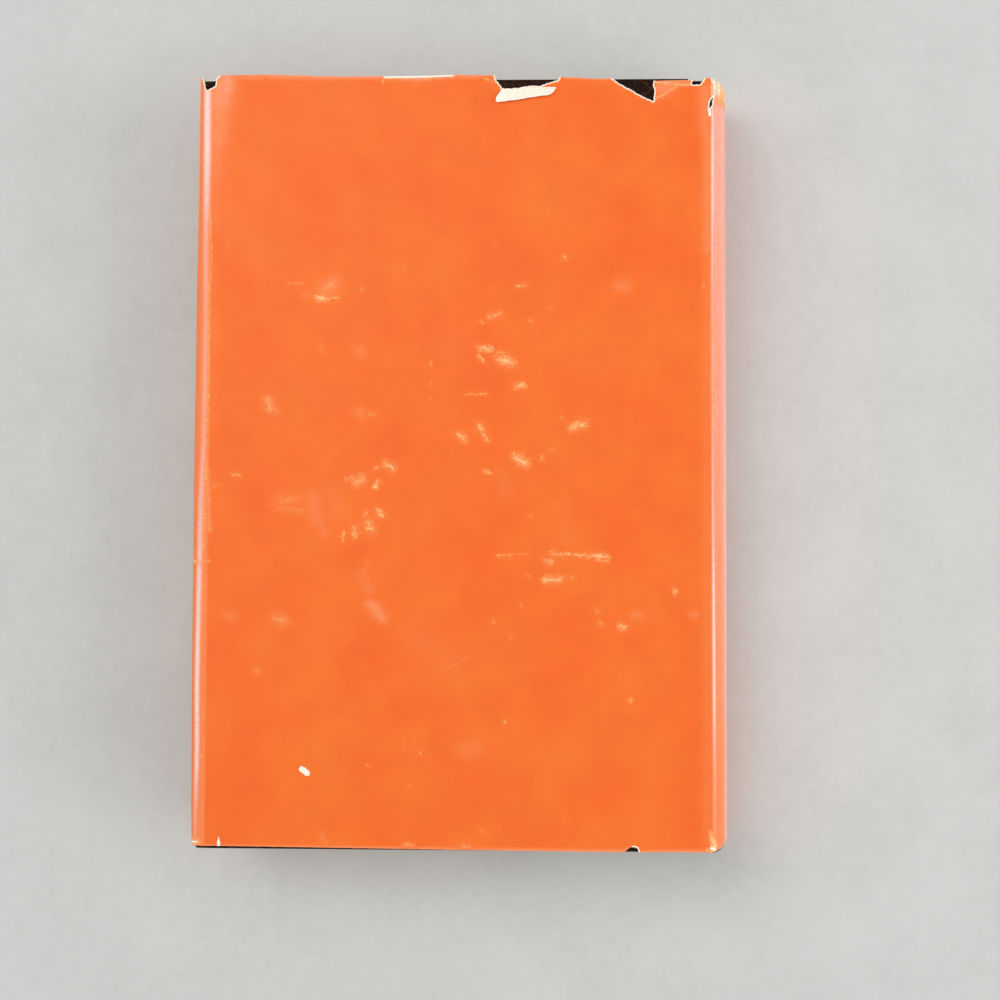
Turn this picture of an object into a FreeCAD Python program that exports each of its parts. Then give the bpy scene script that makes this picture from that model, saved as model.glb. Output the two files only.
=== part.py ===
import FreeCAD, Part
import os
import re
import Sketcher

# A closed hardback book in a torn paper dust jacket, lying on its front cover.
# X runs from the fore edge to the spine, Y from the tail to the head, Z up from the front cover.

# Driving dimensions in millimetres
SIZES = {
    "case_height": 216.0,  # cloth case, tail to head
    "board_width": 136.0,  # one board, fore edge to joint
    "board_thick": 2.5,
    "cloth_thick": 0.4,
    "hem_show": 3.0,  # cloth seen along the pastedown's fore edge inside a cover
    "groove_width": 7.4,  # joint between a board and the spine
    "groove_slope": 0.8,  # how far the cloth slants as it dips into the joint
    "joint_gap": 0.15,  # room on each side of a joint's line
    "head_square": 3.0,  # how far the boards stand past the pages at the head and the tail
    "block_thick": 19.2,
    "fore_square": 3.5,  # how far the boards stand past the pages
    "fore_hollow": 2.6,  # depth of the hollow fore edge
    "flare_run": 1.0,  # length of the pages' turned shoulder
    "endpaper_thick": 0.2,
    "spine_depth": 4.9,  # how far the jacket's spine stands past the joints
    "strip_thick": 0.6,
    "spine_hem": 15.0,  # cloth turned in over the spine strip's ends
    "hollow_gap": 0.2,  # room between the case's spine and the pages' lining
    "lining_thick": 0.2,
    "mull_thick": 0.2,
    "lining_short": 6.0,  # how far the lining stops short of the pages' ends
    "mull_short": 12.0,
    "band_thick": 1.6,
    "band_high": 1.8,  # how far a band stands past the pages' ends
    "jacket_paper": 0.2,
    "jacket_up": 1.2,  # how far the jacket stands past the case's head
    "jacket_short": 0.5,  # how far it stops short of the case's tail
    "jacket_gap": 0.1,  # play between the jacket and what it wraps
    "flap_width": 85.0,
    "fore_fold": 1.5,  # how far the jacket's fold stands past the boards
    "fold_drop": 1.8,  # depth of the fold's crest below the cover's face
    "fold_bow": 0.25,  # roundness of the jacket on its way to the fold
    "spine_head_drop": 1.1,  # paper lost along the jacket's spine at the head
    "tear_depth": 0.25,  # cuts through one sheet of the jacket
    "corner_depth": 2.6,  # cuts the corner as far as the fold's crest
}

# Lines across the book
OVERALL = "(fore_fold + cloth_thick + board_width + groove_width + spine_depth)"
FOLD_EDGE = f"(-{OVERALL} / 2)"
CASE_EDGE = f"({FOLD_EDGE} + fore_fold)"
BOARD_EDGE = f"({CASE_EDGE} + cloth_thick)"
BOARD_BACK = f"({BOARD_EDGE} + board_width)"
JOINT_LINE = f"({BOARD_BACK} + groove_width / 2)"
SHOULDER = f"({BOARD_BACK} + groove_width)"
COVER_END = f"({JOINT_LINE} - joint_gap)"
SPINE_START = f"({JOINT_LINE} + joint_gap)"
PAGE_EDGE = f"({CASE_EDGE} + fore_square)"

# Depths below a cover's outer face
BOARD_OUT = "(jacket_paper + cloth_thick)"
BOARD_IN = f"({BOARD_OUT} + board_thick)"
GROOVE_FLOOR = f"({BOARD_IN} - cloth_thick)"
PASTE_IN = f"({BOARD_IN} + endpaper_thick)"
FLAP_OUT = f"({PASTE_IN} + jacket_gap)"
FLAP_IN = f"({FLAP_OUT} + jacket_paper)"
LEAF_OUT = f"({FLAP_IN} + jacket_gap)"
BLOCK_OUT = f"({LEAF_OUT} + endpaper_thick)"
THICK = f"(2 * {BLOCK_OUT} + block_thick)"

# Depths below the spine's outer face
CLOTH_OUT = "(jacket_paper + jacket_gap)"
STRIP_OUT = f"({CLOTH_OUT} + cloth_thick)"
STRIP_IN = f"({STRIP_OUT} + strip_thick)"
HEM_IN = f"({STRIP_IN} + cloth_thick)"
LINING_OUT = f"({HEM_IN} + hollow_gap)"
MULL_OUT = f"({LINING_OUT} + lining_thick)"
PAGES_BACK = f"({MULL_OUT} + mull_thick)"
BAND_IN = f"({PAGES_BACK} + band_thick)"

# Lengths and middles up the book: the case and the jacket together are centred on Y
BOARD_HEIGHT = "(case_height - 2 * cloth_thick)"
BLOCK_HEIGHT = "(case_height - 2 * head_square)"
JACKET_HEIGHT = "(case_height + jacket_up - jacket_short)"
CASE_MIDDLE = "(-jacket_up / 2)"
JACKET_MIDDLE = "(jacket_short / 2)"
SPINE_PAPER_HEIGHT = f"({JACKET_HEIGHT} - spine_head_drop)"
SPINE_PAPER_MIDDLE = f"({JACKET_MIDDLE} - spine_head_drop / 2)"
PAGES_HEAD = f"({CASE_MIDDLE} + {BLOCK_HEIGHT} / 2)"
PAGES_TAIL = f"({CASE_MIDDLE} - {BLOCK_HEIGHT} / 2)"

# Torn edges, walked along by hand: millimetres from the shoulder, and below the jacket's head
TORN_HEAD = [
    (61.4, -0.6), (60.7, 1.1), (59.3, 3.9), (48.9, 3.4), (42.9, 0.8), (28.5, 1.2),
    (16.7, 7.5), (16.4, 4.5), (16.5, 1.9), (5.8, 2.4), (5.4, 3.0), (3.5, 3.1), (2.2, 1.2), (2.2, -0.6),
]
FOLDED_PIECE = [
    (59.3, 3.9), (48.9, 3.4), (43.9, 3.8), (44.5, 5.2), (50.8, 6.4), (59.9, 7.8), (60.8, 7.7), (60.7, 6.7),
]
# Millimetres from the shoulder, and above the jacket's tail
TAIL_NOTCH = [(24.5, -0.6), (23.4, 1.1), (21.8, 1.4), (21.1, 1.1), (20.5, -0.6)]
# Millimetres from the jacket's fold, and below the jacket's head
CORNER_NOTCH = [(0.7, -0.6), (1.6, 1.4), (2.4, 4.1), (3.5, 3.5), (4.9, 2.7), (5.0, 0.8), (5.9, -0.6)]

os.makedirs("parts", exist_ok=True)
doc = FreeCAD.newDocument("HardbackBook")
sheet = doc.addObject("Spreadsheet::Sheet", "Sizes")
for row, (alias, value) in enumerate(SIZES.items(), 1):
    sheet.set(f"A{row}", alias)
    sheet.set(f"B{row}", str(value))
    sheet.setAlias(f"B{row}", alias)
doc.recompute()


def formula(text):
    return re.sub(r"[a-z]+(_[a-z]+)*", lambda word: "Sizes." + word.group(), text)


def measure(text):
    return float(sheet.evalExpression(formula(text)))


def depth(side, text):
    # The front cover counts its depths up from the floor, the back cover down from the top.
    return text if side == "front" else f"({THICK} - {text})"


def new_body(label, middle):
    body = doc.addObject("PartDesign::Body", label)
    body.Label = label
    body.setExpression("Placement.Base.y", formula(middle))
    return body


def edge_between(start, end, rise):
    # Gives the edge, and which of its two ends is its start: an arc always runs anticlockwise.
    if not rise:
        return Part.LineSegment(start, end), 1
    chord = end - start
    normal = FreeCAD.Vector(chord.y, -chord.x, 0).normalize()
    if normal.x < 0:
        normal = -normal
    crown = (start + end) * 0.5 + normal * rise
    if (crown - start).cross(end - crown).z > 0:
        return Part.Arc(start, crown, end), 1
    return Part.Arc(end, crown, start), 2


def draw(body, name, role, corners, lift=None):
    # A corner is two formulas, and a third one bows the edge after it towards +X, or -X if negative.
    sketch = body.newObject("Sketcher::SketchObject", f"{body.Name}_{name}")
    plane = next(item for item in body.Origin.OriginFeatures if item.Role == role)
    sketch.AttachmentSupport = [(plane, "")]
    sketch.MapMode = "FlatFace"
    if lift:
        sketch.setExpression("AttachmentOffset.Base.z", formula(lift))
    spots = [FreeCAD.Vector(measure(corner[0]), measure(corner[1]), 0) for corner in corners]
    nexts = spots[1:] + spots[:1]
    ends = []
    for corner, start, end in zip(corners, spots, nexts):
        rise = measure(corner[2]) if len(corner) > 2 else 0
        shape, first = edge_between(start, end, rise)
        ends.append((sketch.addGeometry(shape, False), first, 3 - first))
    for index, corner in enumerate(corners):
        edge, first, last = ends[index]
        following, follower, _ = ends[(index + 1) % len(ends)]
        sketch.addConstraint(Sketcher.Constraint("Coincident", edge, last, following, follower))
        for axis, value, text in (("X", spots[index].x, corner[0]), ("Y", spots[index].y, corner[1])):
            tie = sketch.addConstraint(Sketcher.Constraint(f"Distance{axis}", -1, 1, edge, first, value))
            sketch.setExpression(f"Constraints[{tie}]", formula(text))
    for index, corner in enumerate(corners):
        if len(corner) > 2:
            edge = ends[index][0]
            across, up = corners[(index + 1) % len(corners)][:2]
            chord = f"(({across} - {corner[0]})^2 + ({up} - {corner[1]})^2)"
            bend = f"({chord} / 8 / abs({corner[2]}) + abs({corner[2]}) / 2)"
            tie = sketch.addConstraint(Sketcher.Constraint("Radius", edge, sketch.Geometry[edge].Radius))
            sketch.setExpression(f"Constraints[{tie}]", formula(bend).replace("Sizes.abs", "abs"))
    return sketch


def grow(body, kind, sketch, length, middle=True):
    feature = body.newObject(f"PartDesign::{kind}", f"{sketch.Name}_{kind}")
    feature.Profile = sketch
    feature.SideType = "Symmetric" if middle else "One side"
    feature.setExpression("Length", formula(length))
    return feature


def prism(label, middle, corners, length):
    body = new_body(label, middle)
    grow(body, "Pad", draw(body, "section", "XZ_Plane", corners), length)
    return body


def box_corners(left, right, low, high):
    return [(left, low), (right, low), (right, high), (left, high)]


def spine_layer(outer, inner):
    # A layer's rounded section, from its depth below the spine's face to another.
    return [
        (SHOULDER, outer, f"(spine_depth - {outer})"),
        (SHOULDER, f"({THICK} - {outer})"),
        (SHOULDER, f"({THICK} - {inner})", f"(spine_depth - {inner})"),
        (SHOULDER, inner),
    ]


def build_pages():
    prism("text_block", CASE_MIDDLE, [
        (PAGE_EDGE, BLOCK_OUT),
        (f"({SHOULDER} - flare_run)", BLOCK_OUT),
        (SHOULDER, PAGES_BACK, f"(spine_depth - {PAGES_BACK})"),
        (SHOULDER, f"({THICK} - {PAGES_BACK})"),
        (f"({SHOULDER} - flare_run)", f"({THICK} - {BLOCK_OUT})"),
        (PAGE_EDGE, f"({THICK} - {BLOCK_OUT})", "fore_hollow"),
    ], BLOCK_HEIGHT)
    prism("mull_lining", CASE_MIDDLE, spine_layer(MULL_OUT, PAGES_BACK), f"({BLOCK_HEIGHT} - 2 * mull_short)")
    prism("spine_lining", CASE_MIDDLE, spine_layer(LINING_OUT, MULL_OUT), f"({BLOCK_HEIGHT} - 2 * lining_short)")
    prism("head_band", f"({PAGES_HEAD} + band_high / 2)", spine_layer(PAGES_BACK, BAND_IN), "band_high")
    prism("tail_band", f"({PAGES_TAIL} - band_high / 2)", spine_layer(PAGES_BACK, BAND_IN), "band_high")


def build_case_spine():
    prism("spine_strip", CASE_MIDDLE, spine_layer(STRIP_OUT, STRIP_IN), BOARD_HEIGHT)
    corners = [
        (SPINE_START, GROOVE_FLOOR),
        (f"({SHOULDER} - 2 * groove_slope)", GROOVE_FLOOR),
        (SHOULDER, CLOTH_OUT, f"(spine_depth - {CLOTH_OUT})"),
        (SHOULDER, f"({THICK} - {CLOTH_OUT})"),
        (f"({SHOULDER} - 2 * groove_slope)", f"({THICK} - {GROOVE_FLOOR})"),
        (SPINE_START, f"({THICK} - {GROOVE_FLOOR})"),
        (SPINE_START, f"({THICK} - {BOARD_IN})"),
        (f"({SHOULDER} - 2 * groove_slope + cloth_thick)", f"({THICK} - {BOARD_IN})"),
        (SHOULDER, f"({THICK} - {HEM_IN})", f"(spine_depth - {HEM_IN})"),
        (SHOULDER, HEM_IN),
        (f"({SHOULDER} - 2 * groove_slope + cloth_thick)", BOARD_IN),
        (SPINE_START, BOARD_IN),
    ]
    body = prism("spine_cloth", CASE_MIDDLE, corners, "case_height")
    strip_room = draw(body, "strip_room", "XZ_Plane", spine_layer(STRIP_OUT, STRIP_IN))
    grow(body, "Pocket", strip_room, BOARD_HEIGHT)
    hem_room = draw(body, "hem_room", "XZ_Plane", spine_layer(STRIP_IN, HEM_IN))
    grow(body, "Pocket", hem_room, f"({BOARD_HEIGHT} - 2 * spine_hem)")


def build_cover_case(side):
    board_out, board_in = depth(side, BOARD_OUT), depth(side, BOARD_IN)
    paste_in, cloth_out = depth(side, PASTE_IN), depth(side, "jacket_paper")
    floor = depth(side, GROOVE_FLOOR)
    prism(f"{side}_board", CASE_MIDDLE, box_corners(BOARD_EDGE, BOARD_BACK, board_out, board_in), BOARD_HEIGHT)
    window = f"({CASE_EDGE} + hem_show)"
    prism(f"{side}_pastedown", CASE_MIDDLE, box_corners(window, COVER_END, board_in, paste_in), BLOCK_HEIGHT)
    body = prism(f"{side}_cover_cloth", CASE_MIDDLE, [
        (CASE_EDGE, cloth_out),
        (f"({BOARD_BACK} + cloth_thick)", cloth_out),
        (f"({BOARD_BACK} + cloth_thick + groove_slope)", floor),
        (COVER_END, floor),
        (COVER_END, paste_in),
        (CASE_EDGE, paste_in),
    ], "case_height")
    board_room = draw(body, "board_room", "XZ_Plane", box_corners(BOARD_EDGE, BOARD_BACK, board_out, board_in))
    grow(body, "Pocket", board_room, BOARD_HEIGHT)
    paste_room = draw(body, "paste_room", "XZ_Plane", box_corners(window, COVER_END, board_in, paste_in))
    grow(body, "Pocket", paste_room, BLOCK_HEIGHT)
    leaf_end = f"({SHOULDER} - flare_run)"
    prism(f"{side}_free_endpaper", CASE_MIDDLE,
          box_corners(PAGE_EDGE, leaf_end, depth(side, LEAF_OUT), depth(side, BLOCK_OUT)), BLOCK_HEIGHT)


def jacket_cover(side):
    # Panel, fore-edge fold and turned-in flap of one sheet.
    flap_end = f"({FOLD_EDGE} + flap_width)"
    crest = f"({FOLD_EDGE} + 1.5 * jacket_paper)"
    return prism(f"jacket_{side}", JACKET_MIDDLE, [
        (COVER_END, depth(side, "0")),
        (COVER_END, depth(side, "jacket_paper")),
        (CASE_EDGE, depth(side, "jacket_paper"), "(-fold_bow)"),
        (crest, depth(side, "fold_drop"), "(-fold_bow)"),
        (CASE_EDGE, depth(side, FLAP_OUT)),
        (flap_end, depth(side, FLAP_OUT)),
        (flap_end, depth(side, FLAP_IN)),
        (CASE_EDGE, depth(side, FLAP_IN), "(-fold_bow)"),
        (FOLD_EDGE, depth(side, "fold_drop"), "(-fold_bow)"),
        (CASE_EDGE, depth(side, "0")),
    ], JACKET_HEIGHT)


def torn_corners(marks, start, way, edge, inward):
    # Plan points of a torn edge, from two lines of the sheet. The sheet's sketches are centred on it.
    return [(f"({start} {way} {across})", f"({edge} {inward} ({down}))") for across, down in marks]


def tear(body, name, marks, start, way, edge, inward, cut):
    sketch = draw(body, name, "XY_Plane", torn_corners(marks, start, way, edge, inward), THICK)
    grow(body, "Pocket", sketch, cut, middle=False)


def build_jacket():
    jacket_cover("front")
    back = jacket_cover("back")
    half = f"({JACKET_HEIGHT} / 2)"
    tear(back, "torn_head", TORN_HEAD, SHOULDER, "-", half, "-", "tear_depth")
    tear(back, "tail_notch", TAIL_NOTCH, SHOULDER, "-", f"(-{half})", "+", "tear_depth")
    tear(back, "corner_notch", CORNER_NOTCH, FOLD_EDGE, "+", half, "-", "corner_depth")
    piece = torn_corners(FOLDED_PIECE, SHOULDER, "-", half, "-")
    grow(back, "Pad", draw(back, "folded_piece", "XY_Plane", piece, THICK), "jacket_paper", middle=False)
    spine = prism("jacket_spine", SPINE_PAPER_MIDDLE, [
        (SPINE_START, "0"),
        (SHOULDER, "0", "spine_depth"),
        (SHOULDER, THICK),
        (SPINE_START, THICK),
        (SPINE_START, f"({THICK} - jacket_paper)"),
        (SHOULDER, f"({THICK} - jacket_paper)", "(spine_depth - jacket_paper)"),
        (SHOULDER, "jacket_paper"),
        (SPINE_START, "jacket_paper"),
    ], SPINE_PAPER_HEIGHT)
    spine_head = f"({SPINE_PAPER_HEIGHT} / 2 + spine_head_drop)"
    tear(spine, "torn_head", TORN_HEAD, SHOULDER, "-", spine_head, "-", "tear_depth")


build_pages()
build_case_spine()
for cover_side in ("front", "back"):
    build_cover_case(cover_side)
build_jacket()
doc.recompute()

for item in doc.Objects:
    if "Invalid" in item.State or "Error" in item.State:
        raise RuntimeError(f"{item.Label} failed: {item.State}")
bodies = [item for item in doc.Objects if item.TypeId == "PartDesign::Body"]
for body in bodies:
    if body.Shape.isNull() or not body.Shape.isValid() or len(body.Shape.Solids) != 1:
        raise RuntimeError(f"{body.Label} is not one valid solid")
for body in bodies:
    body.Shape.exportStep(f"parts/{body.Label}.step")
    box = body.Shape.BoundBox
    print(f"{body.Label}: {box.XLength:.2f} x {box.YLength:.2f} x {box.ZLength:.2f}, {body.Shape.Volume:.0f} mm3")
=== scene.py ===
import math
import random

import bpy
import numpy as np
from mathutils import Euler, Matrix, Vector, geometry, noise


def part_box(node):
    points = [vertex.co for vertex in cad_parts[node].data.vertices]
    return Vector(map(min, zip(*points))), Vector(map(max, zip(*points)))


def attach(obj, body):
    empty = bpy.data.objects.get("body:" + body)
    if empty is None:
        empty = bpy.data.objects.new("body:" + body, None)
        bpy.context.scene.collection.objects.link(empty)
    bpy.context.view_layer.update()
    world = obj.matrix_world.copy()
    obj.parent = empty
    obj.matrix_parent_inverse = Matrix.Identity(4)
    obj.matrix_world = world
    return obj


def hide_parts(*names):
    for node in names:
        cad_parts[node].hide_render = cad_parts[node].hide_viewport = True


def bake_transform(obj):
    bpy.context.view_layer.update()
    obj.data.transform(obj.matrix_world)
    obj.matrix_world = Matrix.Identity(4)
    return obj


# A worn hardback in a torn orange paper jacket. Every length here is in millimetres until a mesh is made.
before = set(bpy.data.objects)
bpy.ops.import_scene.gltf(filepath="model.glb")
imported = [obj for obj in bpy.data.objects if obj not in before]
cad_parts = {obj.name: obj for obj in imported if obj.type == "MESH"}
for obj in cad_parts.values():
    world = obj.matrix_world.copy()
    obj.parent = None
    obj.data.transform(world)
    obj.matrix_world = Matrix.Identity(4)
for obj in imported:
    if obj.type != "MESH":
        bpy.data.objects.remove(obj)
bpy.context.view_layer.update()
mm = 0.001

photoView = {
    "place": (23.9, -31.1, 480.0),
    "turn": (2.485, 1.63, 0.218),  # degrees
    "lens": 58.52,
    "sensor": 36.0,
    "pixels": 1000,
}


def nodeBox(name):
    low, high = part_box(name)
    return [value / mm for value in low], [value / mm for value in high]


clothLow, clothHigh = nodeBox("back_cover_cloth")
boardLow, boardHigh = nodeBox("back_board")
spineLow, spineHigh = nodeBox("spine_cloth")
pagesLow, pagesHigh = nodeBox("text_block")
jacketLow, jacketHigh = nodeBox("jacket_back")
jacketSpineLow, jacketSpineHigh = nodeBox("jacket_spine")
pasteLow, pasteHigh = nodeBox("back_pastedown")
leafLow, leafHigh = nodeBox("back_free_endpaper")
bandLow, bandHigh = nodeBox("head_band")
frontClothLow, frontClothHigh = nodeBox("front_cover_cloth")
middle = (clothHigh[2] + frontClothLow[2]) / 2  # half the book's thickness; the front is the back turned over
shoulder = boardHigh[0] + 7.4  # where the joint ends and the spine begins


# Materials

def linear(hexColour):
    parts = [int(hexColour[i:i + 2], 16) / 255 for i in (1, 3, 5)]
    return [p / 12.92 if p <= 0.04045 else ((p + 0.055) / 1.055) ** 2.4 for p in parts] + [1.0]


def addNode(tree, kind, inputs=None, stops=None, **settings):
    made = tree.nodes.new(kind)
    for name, value in settings.items():
        setattr(made, name, value)
    for name, value in (inputs or {}).items():
        if isinstance(value, bpy.types.NodeSocket):
            tree.links.new(value, made.inputs[name])
        else:
            made.inputs[name].default_value = value
    if stops:
        ramp = made.color_ramp.elements
        while len(ramp) < len(stops):
            ramp.new(0.5)
        for element, (position, colour) in zip(ramp, stops):
            element.position = position
            element.color = linear(colour)
    return made


def startMaterial(name, roughness, ior=1.5, specular=0.5):
    material = bpy.data.materials.new(name)
    material.use_nodes = True
    tree = material.node_tree
    shader = tree.nodes["Principled BSDF"]
    shader.inputs["Roughness"].default_value = roughness
    shader.inputs["IOR"].default_value = ior
    shader.inputs["Specular IOR Level"].default_value = specular
    return material, tree, shader


def mixColours(tree, share, first, second, blend="MIX"):
    return addNode(tree, "ShaderNodeMix", {0: share, 6: first, 7: second}, data_type="RGBA", blend_type=blend).outputs[2]


print("stage: materials")

printedPaper = {
    "ink": "#fb6a1b", "inkWarm": "#fc7722", "screenDark": "#e2560f",
    "fadeLight": "#fd8f5a", "fadePink": "#fbb3a2", "fadePaleAndHighlight": "#ffdfd0",
    "rubTan": "#ff9c54", "rubCream": "#ffd298", "core": "#fff7e6",
    "screenPitch": 0.72,  # mm; a real screen is four times finer and wouldn't show, so it is drawn coarser
    "cloudSize": 22.0,
    "speckleSize": 0.55,
}


def makeJacketPaper():
    # Coated paper printed in one flat orange: an even ink with a little gloss, rubbed through to the paper in spots
    p = printedPaper
    material, tree, shader = startMaterial("orangeCoatedPaper", 0.5, specular=0.35)
    flat = addNode(tree, "ShaderNodeAttribute", attribute_name="flatPlace").outputs["Vector"]
    rub = addNode(tree, "ShaderNodeAttribute", attribute_name="rub").outputs["Fac"]
    # The pale channel holds real fading and the painted highlights of the fold and ridge
    fade = addNode(tree, "ShaderNodeAttribute", attribute_name="fade").outputs["Fac"]
    core = addNode(tree, "ShaderNodeAttribute", attribute_name="core").outputs["Fac"]
    clouds = addNode(tree, "ShaderNodeTexNoise", {"Vector": flat, "Scale": 1 / p["cloudSize"], "Detail": 3.0, "Roughness": 0.55}).outputs["Fac"]
    patches = addNode(tree, "ShaderNodeTexNoise", {"Vector": flat, "Scale": 1.9 / p["cloudSize"], "Detail": 2.0, "Distortion": 0.6}).outputs["Fac"]
    cloudShare = addNode(tree, "ShaderNodeMapRange", {"Value": clouds, "From Min": 0.3, "From Max": 0.7}).outputs[0]
    ink = mixColours(tree, cloudShare, linear(p["ink"]), linear(p["inkWarm"]))
    # The printing screen, two crossed sets of fine lines at 45 degrees, strong in some patches and lost in others
    turned = addNode(tree, "ShaderNodeMapping", {"Vector": flat, "Rotation": (0, 0, math.radians(45))}).outputs[0]
    waveScale = math.tau / 20 / p["screenPitch"]
    across = addNode(tree, "ShaderNodeTexWave", {"Vector": turned, "Scale": waveScale}, bands_direction="X").outputs["Fac"]
    along = addNode(tree, "ShaderNodeTexWave", {"Vector": turned, "Scale": waveScale}, bands_direction="Y").outputs["Fac"]
    dots = addNode(tree, "ShaderNodeMath", {0: across, 1: along}, operation="MULTIPLY").outputs[0]
    where = addNode(tree, "ShaderNodeMapRange", {"Value": patches, "From Min": 0.4, "From Max": 0.62, "To Min": 0.08, "To Max": 0.62}).outputs[0]
    screen = addNode(tree, "ShaderNodeMath", {0: dots, 1: where}, operation="MULTIPLY").outputs[0]
    ink = mixColours(tree, screen, ink, linear(p["screenDark"]))
    # Fading and light rubbing, with the painted highlights of the fold and ridge, in pink
    streaks = addNode(tree, "ShaderNodeTexNoise", {"Vector": flat, "Scale": 0.9, "Detail": 4.0, "Roughness": 0.6}).outputs["Fac"]
    uneven = addNode(tree, "ShaderNodeMapRange", {"Value": streaks, "From Min": 0.25, "From Max": 0.75, "To Min": 0.86, "To Max": 1.14}).outputs[0]
    fadeAndShineShare = addNode(tree, "ShaderNodeMath", {0: fade, 1: uneven}, operation="MULTIPLY").outputs[0]
    faded = addNode(tree, "ShaderNodeValToRGB", {"Fac": fadeAndShineShare}, stops=[
        (0.0, p["inkWarm"]), (0.4, p["fadeLight"]), (0.72, p["fadePink"]), (1.0, p["fadePaleAndHighlight"])]).outputs["Color"]
    fadeAndShineCover = addNode(tree, "ShaderNodeMapRange", {"Value": fadeAndShineShare, "From Min": 0.0, "From Max": 0.35}).outputs[0]
    ink = mixColours(tree, fadeAndShineCover, ink, faded)
    # Rubs go through the ink in a spray of specks
    specks = addNode(tree, "ShaderNodeTexNoise", {"Vector": flat, "Scale": 1 / p["speckleSize"], "Detail": 5.0, "Roughness": 0.72}).outputs["Fac"]
    grains = addNode(tree, "ShaderNodeTexNoise", {"Vector": flat, "Scale": 0.3 / p["speckleSize"], "Detail": 3.0}).outputs["Fac"]
    spray = addNode(tree, "ShaderNodeMath", {0: specks, 1: 2.1, 2: -1.44}, operation="MULTIPLY_ADD").outputs[0]
    spray = addNode(tree, "ShaderNodeMath", {0: grains, 1: 0.8, 2: spray}, operation="MULTIPLY_ADD").outputs[0]
    rubbed = addNode(tree, "ShaderNodeMath", {0: rub, 1: 0.7, 2: spray}, operation="MULTIPLY_ADD").outputs[0]
    rubShare = addNode(tree, "ShaderNodeMapRange", {"Value": rubbed, "From Min": 0.0, "From Max": 0.85}).outputs[0]
    rubHere = addNode(tree, "ShaderNodeMapRange", {"Value": rub, "From Min": 0.02, "From Max": 0.3}).outputs[0]
    rubShare = addNode(tree, "ShaderNodeMath", {0: rubShare, 1: rubHere}, operation="MULTIPLY").outputs[0]
    rubColour = addNode(tree, "ShaderNodeValToRGB", {"Fac": rubShare}, stops=[
        (0.0, p["inkWarm"]), (0.4, p["rubTan"]), (1.0, p["rubCream"])]).outputs["Color"]
    rubCover = addNode(tree, "ShaderNodeMapRange", {"Value": rubShare, "From Max": 0.45}).outputs[0]
    ink = mixColours(tree, rubCover, ink, rubColour)
    # Torn paper, unprinted right through
    fibres = addNode(tree, "ShaderNodeMath", {0: core, 1: specks}, operation="ADD").outputs[0]
    tornShare = addNode(tree, "ShaderNodeMapRange", {"Value": fibres, "From Min": 0.9, "From Max": 1.1}).outputs[0]
    ink = mixColours(tree, tornShare, ink, linear(p["core"]))
    tree.links.new(ink, shader.inputs["Base Color"])
    dullness = addNode(tree, "ShaderNodeMapRange", {"Value": rubShare, "To Min": 0.46, "To Max": 0.8}).outputs[0]
    tree.links.new(dullness, shader.inputs["Roughness"])
    rough = addNode(tree, "ShaderNodeMath", {0: specks, 1: rubShare}, operation="MULTIPLY").outputs[0]
    bump = addNode(tree, "ShaderNodeBump", {"Height": rough, "Strength": 0.5, "Distance": 0.06 * mm})
    tree.links.new(bump.outputs[0], shader.inputs["Normal"])
    return material


barePaper = {"base": "#fffbee", "shade": "#f8efd9", "fibre": 0.8, "cloudSize": 14.0}


def makeBarePaper():
    # Uncoated back of the jacket's paper: matt cream with faint fibres
    p = barePaper
    material, tree, shader = startMaterial("uncoatedPaper", 0.85, specular=0.25)
    flat = addNode(tree, "ShaderNodeAttribute", attribute_name="flatPlace").outputs["Vector"]
    clouds = addNode(tree, "ShaderNodeTexNoise", {"Vector": flat, "Scale": 1 / p["cloudSize"], "Detail": 3.0}).outputs["Fac"]
    fibres = addNode(tree, "ShaderNodeTexNoise", {"Vector": flat, "Scale": 1 / p["fibre"], "Detail": 4.0}).outputs["Fac"]
    both = addNode(tree, "ShaderNodeMath", {0: clouds, 1: fibres, 2: -0.22}, operation="MULTIPLY_ADD").outputs[0]
    share = addNode(tree, "ShaderNodeMapRange", {"Value": both, "From Min": -0.06, "From Max": 0.16}).outputs[0]
    tree.links.new(mixColours(tree, share, linear(p["base"]), linear(p["shade"])), shader.inputs["Base Color"])
    bump = addNode(tree, "ShaderNodeBump", {"Height": fibres, "Strength": 0.3, "Distance": 0.04 * mm})
    tree.links.new(bump.outputs[0], shader.inputs["Normal"])
    return material


bookCloth = {"dark": "#120705", "thread": "#472616", "speck": "#7d4c2c", "threadPitch": 0.55, "speckSize": 1.1}


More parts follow.
